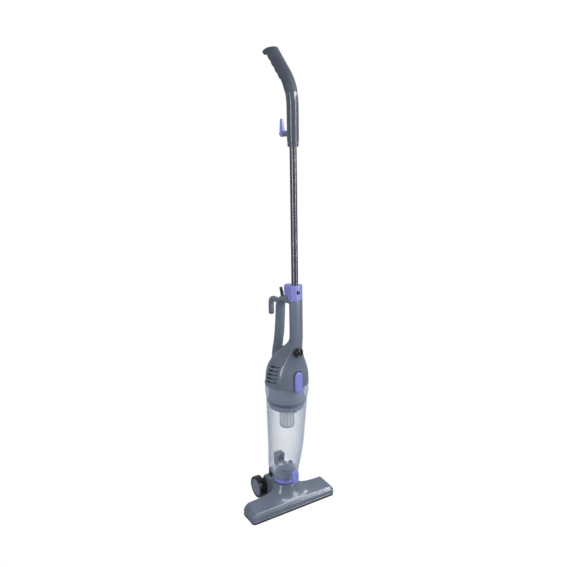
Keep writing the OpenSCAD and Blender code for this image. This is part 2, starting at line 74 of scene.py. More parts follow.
# %% [markdown]
# ## Camera
# The camera comes first, so that every later look is judged from the same place. It stands in front of
# the vacuum's left side, a little above the middle, and looks slightly down. A 38 mm lens on a 36 mm
# sensor gives a mild perspective: the floor head looks larger than the grip, as it does to a person
# standing near it.

# %% Camera
AIM = Vector((0.0696, 0.1029, 0.570))
camera_data = bpy.data.cameras.new("camera")
camera_data.lens = 37.99
camera_data.sensor_width = 36
camera = bpy.data.objects.new("camera", camera_data)
camera.matrix_world = (
    Matrix.Translation(AIM)
    @ Matrix.Rotation(math.radians(-30.91), 4, "Z")
    @ Matrix.Rotation(math.radians(90 - 14.52), 4, "X")
    @ Matrix.Rotation(math.radians(-1.0), 4, "Z")
    @ Matrix.Translation((0, 0, 1.594))
)
scene.collection.objects.link(camera)
scene.camera = camera
print("camera stands at", [round(v, 3) for v in camera.matrix_world.translation])

# %% [markdown]
# ## Colours and nodes
# Colours are written as sRGB hex, the way a paint or plastics sample is read on a screen. Blender's shaders
# work in linear light, so one function turns each hex value to linear. A second one adds a node to a
# material, with its settings and its incoming links.

# %% Colour and node helpers
def linear(colour):
    """An sRGB hex colour in the linear values that shaders use."""
    channels = [int(colour[i:i + 2], 16) / 255 for i in (1, 3, 5)]
    return tuple(c / 12.92 if c <= 0.04045 else ((c + 0.055) / 1.055) ** 2.4 for c in channels) + (1.0,)


def add_node(material, kind, inputs, **settings):
    """Adds one node. An input is a plain value, or (node, output) to link from."""
    tree = material.node_tree
    node = tree.nodes.new(kind)
    for name, value in settings.items():
        setattr(node, name, value)
    for socket, value in inputs.items():
        if isinstance(value, tuple) and isinstance(value[0], bpy.types.Node):
            tree.links.new(value[0].outputs[value[1]], node.inputs[socket])
        else:
            node.inputs[socket].default_value = value
    return node


def new_material(name):
    """An empty node material, with its Principled shader and its Object coordinates."""
    material = bpy.data.materials.new(name)
    material.use_nodes = True
    shader = material.node_tree.nodes["Principled BSDF"]
    place = add_node(material, "ShaderNodeTexCoord", {})
    return material, shader, (place, "Object")


def two_tones(material, factor, dark, light, low=0.35, high=0.65):
    """Turns a pattern into a blend of two colours."""
    ramp = add_node(material, "ShaderNodeValToRGB", {"Fac": factor})
    ramp.color_ramp.elements[0].position = low
    ramp.color_ramp.elements[0].color = linear(dark)
    ramp.color_ramp.elements[1].position = high
    ramp.color_ramp.elements[1].color = linear(light)
    return (ramp, "Color")


def link(material, output, shader, socket):
    material.node_tree.links.new(output[0].outputs[output[1]], shader.inputs[socket])


# %% [markdown]
# ## Moulded ABS
# Most of the machine is acrylonitrile butadiene styrene, ABS, coloured through and moulded against polished
# steel. To the eye that is an even colour with a sharp gloss, a very slight ripple where the plastic shrank,
# and handling marks that only change the gloss. The ripple is a noise with features of 14 mm. The marks are a
# noise of 9 mm, far coarser than real scratches, because finer ones don't show at this distance.

# %% ABS: slate, lilac, grey and black
def moulded_abs(name, dark, light, roughness, ripple=0.003):
    """Glossy coloured ABS. roughness is the pair that handling marks vary between."""
    material, shader, place = new_material(name)
    shader.inputs["IOR"].default_value = 1.54
    cloud = add_node(material, "ShaderNodeTexNoise", {
        "Vector": place, "Scale": 1 / (60 * MM), "Detail": 2.0})
    link(material, two_tones(material, (cloud, "Fac"), dark, light), shader, "Base Color")
    marks = add_node(material, "ShaderNodeTexNoise", {
        "Vector": place, "Scale": 1 / (9 * MM), "Detail": 3.0})
    polish = add_node(material, "ShaderNodeMapRange", {
        "Value": (marks, "Fac"), "From Min": 0.35, "From Max": 0.7,
        "To Min": roughness[0], "To Max": roughness[1]})
    link(material, (polish, "Result"), shader, "Roughness")
    shrink = add_node(material, "ShaderNodeTexNoise", {
        "Vector": place, "Scale": 1 / (14 * MM), "Detail": 1.0})
    bump = add_node(material, "ShaderNodeBump", {
        "Height": (shrink, "Fac"), "Strength": ripple, "Distance": 1.0 * MM})
    link(material, (bump, "Normal"), shader, "Normal")
    return material


slate_abs = moulded_abs("slate ABS, polished", "#59616e", "#616976", (0.20, 0.26))
# The handle's copy of slate ABS is painted darker: painted shade for the dimmer light high up on the machine.
slate_abs_painted_shade = moulded_abs("slate ABS, polished, painted darker as shade", "#454a55", "#4b505c", (0.13, 0.18))
slate_satin_abs = moulded_abs("slate ABS, satin", "#565d69", "#5e6571", (0.32, 0.40), 0.01)
lilac_abs = moulded_abs("lilac ABS, polished", "#7377b6", "#7a7ebe", (0.28, 0.34))
grey_abs = moulded_abs("grey ABS, satin", "#6b727d", "#747b86", (0.34, 0.42))
pale_abs = moulded_abs("pale grey ABS, satin", "#a9b0bb", "#b3bac4", (0.34, 0.42))
black_abs = moulded_abs("black ABS, polished", "#121316", "#191a1e", (0.12, 0.22))
# This dark ABS is real on the wheel hubs and the matte parts, and painted shade on the walls of cut recesses.
dark_abs_and_painted_recess_shade = moulded_abs("dark slate ABS, satin, also painted recess shade", "#31363f", "#3a3f49", (0.35, 0.5))

# %% [markdown]
# ## Soft grip, rubber and tyres
# The grip's skin is thermoplastic elastomer moulded over ABS. Its tool is spark-eroded, and the grain
# scatters the light, so the upper handle looks matt beside the glossy shells. Real grain is near 0.1 mm, and
# is drawn 0.6 mm wide so that it shows. Seals, boot and bumper are nitrile rubber, smoother and darker.

# %% Elastomers
def elastomer(name, dark, light, roughness, grain_mm, depth):
    """Rubbery skin with a spark-eroded grain of the given size in millimetres."""
    material, shader, place = new_material(name)
    shader.inputs["IOR"].default_value = 1.5
    shader.inputs["Roughness"].default_value = roughness
    cloud = add_node(material, "ShaderNodeTexNoise", {
        "Vector": place, "Scale": 1 / (25 * MM), "Detail": 4.0})
    link(material, two_tones(material, (cloud, "Fac"), dark, light), shader, "Base Color")
    grain = add_node(material, "ShaderNodeTexNoise", {
        "Vector": place, "Scale": 1 / (grain_mm * MM), "Detail": 2.0})
    bump = add_node(material, "ShaderNodeBump", {
        "Height": (grain, "Fac"), "Strength": depth, "Distance": 0.2 * MM})
    link(material, (bump, "Normal"), shader, "Normal")
    return material


grip_tpe = elastomer("slate TPE, eroded grain", "#3d424c", "#434953", 0.62, 0.6, 0.06)
black_rubber = elastomer("black nitrile rubber", "#141416", "#1d1d20", 0.5, 0.8, 0.1)
tyre_rubber = elastomer("black tyre rubber, smooth", "#0c0c0f", "#141419", 0.26, 1.5, 0.04)

# %% [markdown]
# ## Clear polycarbonate
# The cup is clear polycarbonate with a cold, bluish cast. A wall 2 mm thick hardly bends the light, so
# the shader lets most of it straight through by its alpha. A Layer Weight makes the wall denser where it
# is seen edge on, which is what tells the eye that there is a wall. A fine haze of use is left in the
# roughness.

# %% Clear polycarbonate
clear_pc, pc_shader, pc_place = new_material("clear polycarbonate, used")
pc_shader.inputs["Base Color"].default_value = linear("#9caabf")
pc_shader.inputs["IOR"].default_value = 1.58
haze = add_node(clear_pc, "ShaderNodeTexNoise", {"Vector": pc_place, "Scale": 1 / (30 * MM), "Detail": 2.0})
haze_range = add_node(clear_pc, "ShaderNodeMapRange", {
    "Value": (haze, "Fac"), "To Min": 0.03, "To Max": 0.08})
link(clear_pc, (haze_range, "Result"), pc_shader, "Roughness")
edge = add_node(clear_pc, "ShaderNodeLayerWeight", {"Blend": 0.35})
wall = add_node(clear_pc, "ShaderNodeMapRange", {
    "Value": (edge, "Facing"), "To Min": 0.045, "To Max": 0.62})
link(clear_pc, (wall, "Result"), pc_shader, "Alpha")

# %% [markdown]
# ## Metals
# The wand is steel tube with a dark, polished chrome finish, drawn lengthwise, so its faint lines run along
# Z. They are drawn 5 mm wide, as real ones are too fine to show. Screws, axle and springs are zinc-plated
# steel, a softer grey. The fan is pressed aluminium.

# %% Metals
def plated(name, colour, roughness, line_mm, stretch, relief=0.02):
    """A plated or pressed metal, with drawing lines line_mm wide, stretched along Z."""
    material, shader, place = new_material(name)
    shader.inputs["Metallic"].default_value = 1.0
    shader.inputs["Base Color"].default_value = linear(colour)
    lay = add_node(material, "ShaderNodeMapping", {"Vector": place, "Scale": (1.0, 1.0, stretch)})
    lines = add_node(material, "ShaderNodeTexNoise", {
        "Vector": (lay, "Vector"), "Scale": 1 / (line_mm * MM), "Detail": 3.0})
    polish = add_node(material, "ShaderNodeMapRange", {
        "Value": (lines, "Fac"), "To Min": roughness * 0.7, "To Max": roughness * 1.4})
    link(material, (polish, "Result"), shader, "Roughness")
    bump = add_node(material, "ShaderNodeBump", {
        "Height": (lines, "Fac"), "Strength": relief, "Distance": 0.1 * MM})
    link(material, (bump, "Normal"), shader, "Normal")
    return material


tube_steel = plated("dark chromed steel, drawn", "#66646a", 0.27, 5.0, 0.02, 0.001)
zinc_steel = plated("zinc-plated steel", "#b3b6ba", 0.3, 0.9, 0.5)
fan_aluminium = plated("pressed aluminium", "#c4c6ca", 0.35, 1.2, 1.0)

# %% [markdown]
# ## Filter media, foam and bristle
# The filter is pleated polyester fleece: matt, off-white, with clumps of fibre of about 0.6 mm that catch a
# soft sheen. The exhaust foam is open-cell polyurethane with cells near 2 mm. The bristles are nylon.

# %% Filter media, foam and bristle
def fibrous(name, dark, light, cell_mm, depth, sheen):
    """Matt fleece, foam or tufting with cells of cell_mm."""
    material, shader, place = new_material(name)
    shader.inputs["Roughness"].default_value = 0.9
    shader.inputs["Sheen Weight"].default_value = sheen
    cells = add_node(material, "ShaderNodeTexVoronoi", {"Vector": place, "Scale": 1 / (cell_mm * MM)})
    link(material, two_tones(material, (cells, "Distance"), light, dark, 0.2, 0.8), shader, "Base Color")
    bump = add_node(material, "ShaderNodeBump", {
        "Height": (cells, "Distance"), "Strength": depth, "Distance": 0.4 * MM})
    link(material, (bump, "Normal"), shader, "Normal")
    return material


fleece = fibrous("polyester filter fleece", "#d9dbdd", "#eceded", 0.6, 0.2, 0.3)
foam = fibrous("polyurethane foam", "#1b1c1e", "#3a3c40", 2.0, 0.8, 0.0)
nylon = fibrous("black nylon bristle", "#131315", "#26262a", 0.7, 0.6, 0.1)
lint_pile = fibrous("red lint pile", "#5e222b", "#86323d", 0.8, 0.6, 0.6)
print("materials:", len(bpy.data.materials))

# %% [markdown]
# ## Helpers for new pieces
# Each new piece is built in a bmesh, in millimetres for easy reading, then scaled to metres and handed over
# by `piece`. That function joins doubled points, turns the faces outwards, smooths everything but the sharp
# edges, and says which body the piece rides on and which CAD nodes it stands for.

# %% Piece helpers
def to_mesh(build, name):
    """A mesh from a bmesh in millimetres, clean, with its faces outwards and in metres."""
    bmesh.ops.remove_doubles(build, verts=build.verts, dist=0.001)
    bmesh.ops.dissolve_degenerate(build, edges=build.edges, dist=0.0005)
    bmesh.ops.recalc_face_normals(build, faces=build.faces)
    bmesh.ops.scale(build, vec=(MM, MM, MM), verts=build.verts)
    mesh = bpy.data.meshes.new(name)
    build.to_mesh(mesh)
    build.free()
    return mesh


def as_object(build, name):
    """A plain object from a bmesh, for modifiers to work on."""
    item = bpy.data.objects.new(name, to_mesh(build, name))
    scene.collection.objects.link(item)
    return item


def apply_modifiers(item):
    """Replaces an object's mesh by what its modifiers make of it."""
    depsgraph = bpy.context.evaluated_depsgraph_get()
    made = bpy.data.meshes.new_from_object(item.evaluated_get(depsgraph))
    item.modifiers.clear()
    item.data = made
    return item


def cut(item, build, lining_or_painted_shade=None):
    """Takes a bmesh solid out of an object. The cut faces get the given material, real or a dark one painted
    in as the shade inside a recess; without it they keep the object's own.
    """
    cutter = as_object(build, "cutter")
    if lining_or_painted_shade:
        cutter.data.materials.append(lining_or_painted_shade)
    tool = item.modifiers.new("cut", "BOOLEAN")
    tool.object = cutter
    tool.solver = "EXACT"
    tool.material_mode = "TRANSFER"
    bpy.context.view_layer.update()
    apply_modifiers(item)
    bpy.data.objects.remove(cutter)
    return item


def thicken(item, wall):
    """Gives a skin a wall, inwards, in millimetres."""
    solid = item.modifiers.new("wall", "SOLIDIFY")
    solid.thickness = wall * MM
    solid.offset = -1
    return apply_modifiers(item)


def dress(item, material, body, slot, replaced=(), angle=35):
    """Finishes a piece: material, smooth shading up to an angle, its body and the CAD nodes it stands for."""
    if not item.data.materials:
        item.data.materials.append(material)
    for number, kept in enumerate(item.data.materials):
        if kept is None:
            item.data.materials[number] = material
    item.data.shade_smooth()
    item.data.set_sharp_from_angle(angle=math.radians(angle))
    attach(item, body)
    if replaced:
        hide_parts(*replaced)
    return item


def piece(build, name, material, body, slot, replaced=(), angle=35):
    return dress(as_object(build, name), material, body, slot, replaced, angle)


# %% [markdown]
# Many shapes here are lofts: a row of closed rings joined by faces. A ring starts as `create_circle`, and a
# function then places each of its points. The usual one is a superellipse, which goes from an ellipse to a
# rounded box as `square` grows. `bridge_loops` joins each ring to the next one.

# %% Loft helper
def add_ring(build, shape, around=64):
    """One ring of a loft. shape gives a place for each point's number, cosine and sine. Returns its edges."""
    points = bmesh.ops.create_circle(build, cap_ends=False, segments=around, radius=1)["verts"]
    for number, point in enumerate(points):
        point.co = shape(number, point.co.x, point.co.y)
    return list({edge for point in points for edge in point.link_edges})


def stretch(c, s, square):
    """How far a point of the unit circle moves out to lie on a superellipse."""
    return (abs(c) ** square + abs(s) ** square) ** (-1 / square)


def superellipse(place, half_x, half_y, square):
    """The shape of a ring from an ellipse (square = 2) to a rounded box."""
    def shape(number, c, s):
        out = stretch(c, s, square)
        return place @ Vector((half_x * c * out, half_y * s * out, 0))
    return shape


def bridge(build, loops, caps=(True, True)):
    """Joins rings of edges into one skin, closed at the ends that caps says."""
    for lower, upper in zip(loops, loops[1:]):
        bmesh.ops.bridge_loops(build, edges=lower + upper)
    for wanted, loop in zip(caps, (loops[0], loops[-1])):
        if wanted:
            bmesh.ops.contextual_create(build, geom=loop)
    return build


def loft(build, rings, around=64, caps=(True, True)):
    """A skin through superellipses, each (place, half_x, half_y, square)."""
    return bridge(build, [add_ring(build, superellipse(*ring), around) for ring in rings], caps)


def upright(y, z):
    """A level place in the middle plane."""
    return Matrix.Translation((0, y, z))


def leaning(y, z, lean):
    """A ring's place in the middle plane, leaning back by an angle in degrees."""
    return Matrix.Translation((0, y, z)) @ Matrix.Rotation(math.radians(-lean), 4, "X")


def facing_front(y, z, x=0):
    """A place whose own Z axis points out to the front, towards -Y."""
    return Matrix.Translation((x, y, z)) @ Matrix.Rotation(math.radians(90), 4, "X")


def spun(build, profile, place, steps=64):
    """Turns a closed (radius, height) profile round the Z axis of place."""
    points = [build.verts.new(place @ Vector((r, 0, h))) for r, h in profile]
    loop = [build.edges.new((a, b)) for a, b in zip(points, points[1:] + points[:1])]
    bmesh.ops.spin(build, geom=points + loop, cent=place.translation, axis=place.to_3x3() @ Vector((0, 0, 1)),
                   angle=math.tau, steps=steps, use_merge=True)
    return build


def rod(build, r, start, end, place, steps=64):
    """A solid cylinder along the Z axis of place."""
    return spun(build, [(0.01, start), (r, start), (r, end), (0.01, end)], place, steps)


# %% [markdown]
# Hollow mouldings with generous blends, such as the motor housing, are quicker to make as clay: overlapping
# rough lofts are melted into one skin by a voxel Remesh, and a Smooth modifier then rounds every inner and
# outer corner by about the same radius. Crisp details are cut afterwards.

# %% Path and clay helpers
def through(stations, steps=6):
    """A smooth run of values through stations, by Catmull-Rom interpolation between each pair."""
    ends = [stations[0]] + list(stations) + [stations[-1]]
    run = []
    for before, start, end, after in zip(ends, ends[1:], ends[2:], ends[3:]):
        for i in range(steps):
            t = i / steps
            run.append(tuple(
                0.5 * (2 * b + (c - a) * t + (2 * a - 5 * b + 4 * c - d) * t * t
                       + (3 * b - a - 3 * c + d) * t ** 3)
                for a, b, c, d in zip(before, start, end, after)))
    return run + [tuple(stations[-1])]


def sweep(build, stations, square=3.0, steps=5, around=40):
    """Lofts a section through stations in the middle plane: (y, z, half width in X, half thickness)."""
    run = through(stations, steps)
    rings = []
    for i, (y, z, half_x, half_t) in enumerate(run):
        ahead, behind = run[min(i + 1, len(run) - 1)], run[max(i - 1, 0)]
        lean = math.degrees(math.atan2(ahead[0] - behind[0], ahead[1] - behind[1]))
        rings.append((leaning(y, z, lean), half_x, half_t, square))
    return loft(build, rings, around)


def clay(build, name, voxel, passes):
    """Melts overlapping solids into one skin and rounds its corners."""
    item = as_object(build, name)
    melt = item.modifiers.new("melt", "REMESH")
    melt.mode = "VOXEL"
    melt.voxel_size = voxel * MM
    soften = item.modifiers.new("soften", "SMOOTH")
    soften.factor = 0.5
    soften.iterations = passes
    return apply_modifiers(item)


# %% [markdown]
# ## Floor head
# The head's cover is one thin moulding: two long wings, a flared neck that carries the cup, and a pod at
# the back that holds the axle. It could be cut from blocks, but its charm is in the hollow blends between
# them. So a fine grid is lifted to a height that blends the three: `soft_min` and `soft_max` are a
# minimum and a maximum with the crease between two surfaces rounded off by `k` millimetres.

# %% Floor head cover
HEAD_LOW, HEAD_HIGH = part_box("bumper_strip")
HALF_LENGTH = HEAD_HIGH.x / MM
FRONT = HEAD_LOW.y / MM
BACK = HEAD_HIGH.y / MM
SPIGOT_Y = middle("spigot", Y)
BAND_TOP = 19
RING_TOP = 65.2
POD_HALF = 38
CORNER = 9


def soft_min(a, b, k):
    mix = max(0.0, min(1.0, 0.5 + 0.5 * (b - a) / k))
    return b + (a - b) * mix - k * mix * (1 - mix)


def soft_max(a, b, k):
    return -soft_min(-a, -b, k)


def head_height(x, y):
    """Height of the cover's outside above the floor, in millimetres."""
    side = abs(x)
    wing = soft_min(BAND_TOP + (y - FRONT - 1) * 2.4, 27.5 + (y - FRONT - 4) * 0.15, 3)
    wing = soft_min(wing, BAND_TOP + (BACK - 1 - y) * 2.2, 5)
    wing = soft_min(wing, BAND_TOP + (HALF_LENGTH - 1 - side) * 1.35, 6)
    past_x = side - (HALF_LENGTH - CORNER)
    past_y = abs(y - (FRONT + BACK) / 2) - ((BACK - FRONT) / 2 - CORNER)
    if past_x > 0 and past_y > 0:
        wing = min(wing, BAND_TOP + (CORNER - 1 - math.hypot(past_x, past_y)) * 2)
    pod = soft_min(57 - max(0, side - 12) * 0.05, BAND_TOP + (POD_HALF - side) * 5, 10)
    pod = soft_min(pod, BAND_TOP + (72 - y) * 2.5, 14)
    base = soft_max(max(wing, -10), max(pod, -10) if y > -10 else -10, 12)
    away = max(0.0, math.hypot(x, y - SPIGOT_Y) - 33)
    flare = 0.55 * math.exp(-away / 4.5) + 0.45 * math.exp(-away / 22)
    fade = max(0.0, min(1.0, (y - FRONT - 3) / 16))
    return base + (RING_TOP - base) * flare * fade * fade * (3 - 2 * fade)


cover = bmesh.new()
bmesh.ops.create_grid(cover, x_segments=190, y_segments=110, size=1)
bmesh.ops.scale(cover, vec=(130, 66, 1), verts=cover.verts)
bmesh.ops.translate(cover, vec=(0, 9, 0), verts=cover.verts)
for vert in cover.verts:
    vert.co.z = head_height(vert.co.x, vert.co.y)
bmesh.ops.bisect_plane(cover, geom=cover.verts[:] + cover.edges[:] + cover.faces[:], dist=0.001,
                       plane_co=(0, 0, BAND_TOP - 1), plane_no=(0, 0, 1), clear_inner=True)
cover_shell = thicken(as_object(cover, "head_cover_top"), 2.2)
cut(cover_shell, rod(bmesh.new(), 21.6, 0, 40, upright(SPIGOT_Y, 40)))
dress(cover_shell, slate_abs, "floor_head", "slate_gloss", ["head_cover"], angle=50)
print("cover top:", len(cover_shell.data.polygons), "faces")

# %% [markdown]
# Round the foot of the cover runs an upright band, a little proud of the wings. Its outline is a T with
# rounded corners: eight points make the face, `bevel` on the points rounds them, and an extrusion gives the
# band its height. A ledge near the bottom leaves the dark gap that is seen above the rubber bumper.

# %% Floor head band
band = bmesh.new()
t_points = [(-HALF_LENGTH, FRONT), (HALF_LENGTH, FRONT), (HALF_LENGTH, BACK), (POD_HALF, BACK),
            (POD_HALF, 71), (-POD_HALF, 71), (-POD_HALF, BACK), (-HALF_LENGTH, BACK)]
band.faces.new([band.verts.new((x, y, 5.2)) for x, y in t_points])
bmesh.ops.bevel(band, geom=band.verts[:], offset=7, segments=6, profile=0.5, affect="VERTICES", material=-1)
face = band.faces[:][0]
levels = [(0.8, 0), (0, 1.6), (0.6, 0.5), (0, 9.4), (1.2, 0.9), (3.0, 0.1)]
for narrower, up in levels:
    if narrower:
        bmesh.ops.inset_region(band, faces=[face], thickness=narrower, use_even_offset=True)
    if up and not narrower:
        grown = bmesh.ops.extrude_discrete_faces(band, faces=[face])["faces"]
        face = grown[0]
        bmesh.ops.translate(band, vec=(0, 0, up), verts=face.verts)
    elif up:
        bmesh.ops.translate(band, vec=(0, 0, up), verts=face.verts)
piece(band, "head_band", slate_abs, "floor_head", "slate_gloss", angle=40)

# %% [markdown]
# ## Wheels
# Each rear wheel is a smooth rubber tyre on a moulded hub, with a grey cap that has one ring groove. All
# three are turned shapes, so a half section is spun round the axle. A thin rim shows between tyre and cap.

# %% Wheels
def rounded(points, radius, segments=4):
    """A closed outline in a plane, with its corners rounded, as a list of points."""
    soft = []
    count = len(points)
    for i, (x, y) in enumerate(points):
        here = Vector((x, y))
        to_last = Vector(points[i - 1]) - here
        to_next = Vector(points[(i + 1) % count]) - here
        reach = min(radius, to_last.length / 2.2, to_next.length / 2.2)
        first, last = here + to_last.normalized() * reach, here + to_next.normalized() * reach
        for step in range(segments + 1):
            t = step / segments
            soft.append(tuple(first * (1 - t) ** 2 + here * 2 * t * (1 - t) + last * t * t))
    return soft


WHEEL_R = extent("wheel_left_tyre", Z) / 2
WHEEL_Y = middle("wheel_left_tyre", Y)
WHEEL_W = extent("wheel_left_tyre", X)
WHEEL_IN = -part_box("wheel_left_tyre")[1].x / MM
for side, name in ((-1, "left"), (1, "right")):
    hub_place = (Matrix.Translation((side * WHEEL_IN, WHEEL_Y, WHEEL_R))
                 @ Matrix.Rotation(math.radians(90 * side), 4, "Y"))
    parts = [
        ("tyre", tyre_rubber, "tyre_rubber", 2.6,
         [(WHEEL_R - 5, 0.3), (WHEEL_R, 0.3), (WHEEL_R, WHEEL_W - 0.2), (WHEEL_R - 4, WHEEL_W - 0.2),
          (WHEEL_R - 4, WHEEL_W - 1.6), (WHEEL_R - 5, WHEEL_W - 1.6)]),
        ("hub", dark_abs_and_painted_recess_shade, "slate_matte", 0.5,
         [(3.1, 0), (8, 0), (8, 4), (WHEEL_R - 8, 4), (WHEEL_R - 8, 1), (WHEEL_R - 4.6, 1),
          (WHEEL_R - 4.6, WHEEL_W - 0.9), (WHEEL_R - 5.4, WHEEL_W + 0.1), (WHEEL_R - 6.4, WHEEL_W - 0.9),
          (WHEEL_R - 6.4, WHEEL_W - 4), (3.1, WHEEL_W - 4)]),
        ("cap", grey_abs, "grey_plastic", 0.8,
         [(0.01, WHEEL_W - 3.2), (WHEEL_R - 6.8, WHEEL_W - 3.2), (WHEEL_R - 6.8, WHEEL_W - 0.8),
          (WHEEL_R - 8.4, WHEEL_W), (WHEEL_R - 9.6, WHEEL_W - 0.2), (WHEEL_R - 10.2, WHEEL_W - 1.4),
          (WHEEL_R - 11.4, WHEEL_W - 1.4), (WHEEL_R - 12, WHEEL_W - 0.3),
          (0.01, WHEEL_W + 0.4)]),
    ]
    for part, material, slot, radius, profile in parts:
        soft_profile = rounded(profile, radius) if part != "cap" else profile
        turned = spun(bmesh.new(), soft_profile, hub_place, 72)
        piece(turned, f"{name}_{part}", material, f"wheel_{name}", slot, [f"wheel_{name}_{part}"], angle=30)

# %% [markdown]
# ## Dust cup
# The cup is a slightly leaning, tapering jar of clear polycarbonate. Its middle line curves, so it is no
# lathe shape: rings of changing radius are placed along it and bridged. Solidify gives the wall its 2 mm.

# %% Dust cup
# each station is (height, middle in Y, radius)
cup_path = through([
    (76, -3, 30), (88, -1.6, 35.6), (103, 1, 40.6), (135, -4.2, 43.3), (175, -10.4, 46),
    (245, -15.4, 49.4), (312, -19.5, 52.4), (322, -20.1, 53.9), (332, -20.4, 55), (350, -20.4, 55)], 5)
jar = loft(bmesh.new(), [(upright(y, z), r, r, 2.0) for z, y, r in cup_path], 96, (False, False))
jar_wall = thicken(as_object(jar, "cup_wall"), 2)
dress(jar_wall, clear_pc, "dust_cup", "clear_cup", ["cup_shell"], angle=40)

floor_profile = [
    (22.2, 76.2), (24.5, 76.2), (24.5, 93), (37, 93), (37, 95), (17, 95), (17, 92.2), (22.2, 92.2)]
floor_ring = spun(bmesh.new(), rounded(floor_profile, 0.8, 2), upright(SPIGOT_Y, 0))
piece(floor_ring, "cup_floor", clear_pc, "dust_cup", "clear_cup", ["cup_base"], angle=40)

foot_profile = [(22.2, 66), (30, 66), (30.6, 71), (30, 75.9), (22.2, 75.9)]
foot = spun(bmesh.new(), rounded(foot_profile, 1.4, 3), upright(SPIGOT_Y, 0))
piece(foot, "cup_foot", lilac_abs, "dust_cup", "lilac_gloss", ["cup_foot_ring"], angle=40)

# %% [markdown]
# ## Motor housing
# The housing is two glued shells that make a bulb, a neck up the front and a D-handle behind. Their
# outside reads as one smooth, hollow form, so the bulb and neck are one loft and the D-bar is a sweep.
# They overlap and melt together as clay. The flank is then pressed in a little behind a soft ridge, as on
# the real shell.

# %% Housing clay
NECK_Y = -68.5
HOUSING_FOOT = 351
WAND_Y = middle("tube", Y)
# each station is (height, middle in Y, half width, half depth, squareness)
BULB = through([
    (340, -20.4, 55.4, 55.4, 2.0), (351, -20.4, 55.5, 55.5, 2.0), (372, -20.8, 54.8, 54.8, 2.0),
    (392, -22.6, 51.6, 52.0, 2.0), (408, -26.0, 46.0, 47.6, 2.0), (424, -32.0, 38.6, 42.0, 2.0),
    (440, -41.0, 30.0, 34.0, 2.0), (454, -52.0, 23.0, 24.5, 2.1), (468, -62.0, 18.8, 15.8, 2.3),
    (482, -67.6, 17.2, 11.2, 2.5), (500, NECK_Y, 17.0, 10.5, 2.5), (540, NECK_Y, 17.0, 10.5, 2.5),
    (579, NECK_Y, 17.0, 10.5, 2.5)], 5)
# (height, Y) of the ridge that bounds each pressed flank
RIDGE_LINE = [(354, -48), (365, -50.2), (388, -54), (410, -57), (422, -62), (441, -66.5), (465, -72)]


def housing_clay():
    rings = [(upright(y, z), half_x, half_y, square) for z, y, half_x, half_y, square in BULB]
    build = loft(bmesh.new(), rings, 96)
    loft(build, [(upright(-45, z), 13.6, 13.4, 2.4) for z in (566, 580, 588)])
    bar = [
        (-72, 569, 8.5), (-40, 569.5, 8.5), (-18, 568, 9), (-4, 562, 9.6), (2.5, 549, 10), (4.6, 530, 10.2),
        (7.5, 500, 10.5), (11, 475, 11), (17, 448, 12.2), (24, 418, 13.2), (27, 392, 12.4), (25, 372, 11.5)]
    sweep(build, [(y, z, 12.2, half - 3.4) for y, z, half in bar], square=4.0)
    sweep(build, [(y, z, 7.4, half) for y, z, half in bar], square=3.4)
    return clay(build, "housing", 1.3, 9)


def along_line(line, at):
    """The second value of a line of pairs at a first value, by straight interpolation."""
    at = max(line[0][0], min(line[-1][0], at))
    for (start, low), (end, high) in zip(line, line[1:]):
        if at <= end:
            return low + (high - low) * (at - start) / (end - start)


def smooth(t):
    t = max(0.0, min(1.0, t))
    return t * t * (3 - 2 * t)


def press_flanks(item):
    """Sinks each flank behind a ridge that runs from the neck down past the vents."""
    low, high, rear, sunk = 353, 468, 34, 2.4
    for vert in item.data.vertices:
        x, y, z = vert.co / MM
        if low < z < high and abs(x) > 10 and y < rear:
            behind = smooth((y - along_line(RIDGE_LINE, z)) / 4.5)
            fading = smooth((rear - y) / 30)
            ends = smooth((z - low) / 5) * smooth((high - z) / 24)
            vert.co.x -= math.copysign(sunk * behind * fading * ends, x) * MM


housing = housing_clay()
press_flanks(housing)
print("housing clay:", len(housing.data.polygons), "faces")

# %% [markdown]
# Crisp details are cut out of the clay: the flat foot, the exhaust louvres on both flanks, the well round
# the cup button, the hole of the switch and the socket of the wand. The louvre cutters are rounded slabs
# that run deeper towards the back, so that each one opens from a shallow groove into a deep slot. The walls
# of the louvres, the button well and the switch hole are dark ABS, painted in as the shade inside them.

# %% Housing cuts
def slab(build, size, corner, place, segments=3):
    """A rounded block, put in place by a matrix."""
    start = len(build.verts)
    made = bmesh.ops.create_cube(build, size=1)["verts"]
    bmesh.ops.scale(build, vec=size, verts=made)
    edges = list({edge for vert in made for edge in vert.link_edges})
    bmesh.ops.bevel(build, geom=edges, offset=corner, segments=segments, profile=0.5,
                    affect="EDGES", material=-1)
    build.verts.ensure_lookup_table()
    bmesh.ops.transform(build, matrix=place, verts=build.verts[start:])
    return build


def button_shape(build, width, height, waist, levels, place, square=3.0):
    """A domed, waisted push button. levels is (inset, depth) from the back to the crown; -Y is outwards."""
    def level(inset, depth):
        def shape(number, c, s):
            out = stretch(c, s, square)
            x, z = (width / 2 - inset) * c * out, (height / 2 - inset) * s * out
            x *= 1 - waist * (1 - (z / (height / 2 - inset)) ** 2)
            return place @ Vector((x, -depth, z))
        return shape
    return bridge(build, [add_ring(build, level(*each)) for each in levels])


BUTTON_Z = middle("cup_button", Z)
BUTTON_W = extent("cup_button", X)
BUTTON_H = extent("cup_button", Z)
BUTTON_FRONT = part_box("cup_button")[0].y / MM
SWITCH_Z = middle("switch_bezel", Z)
SWITCH_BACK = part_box("switch_bezel")[1].y / MM

cut(housing, slab(bmesh.new(), (140, 140, 40), 1, upright(-20, HOUSING_FOOT - 20)), slate_abs)


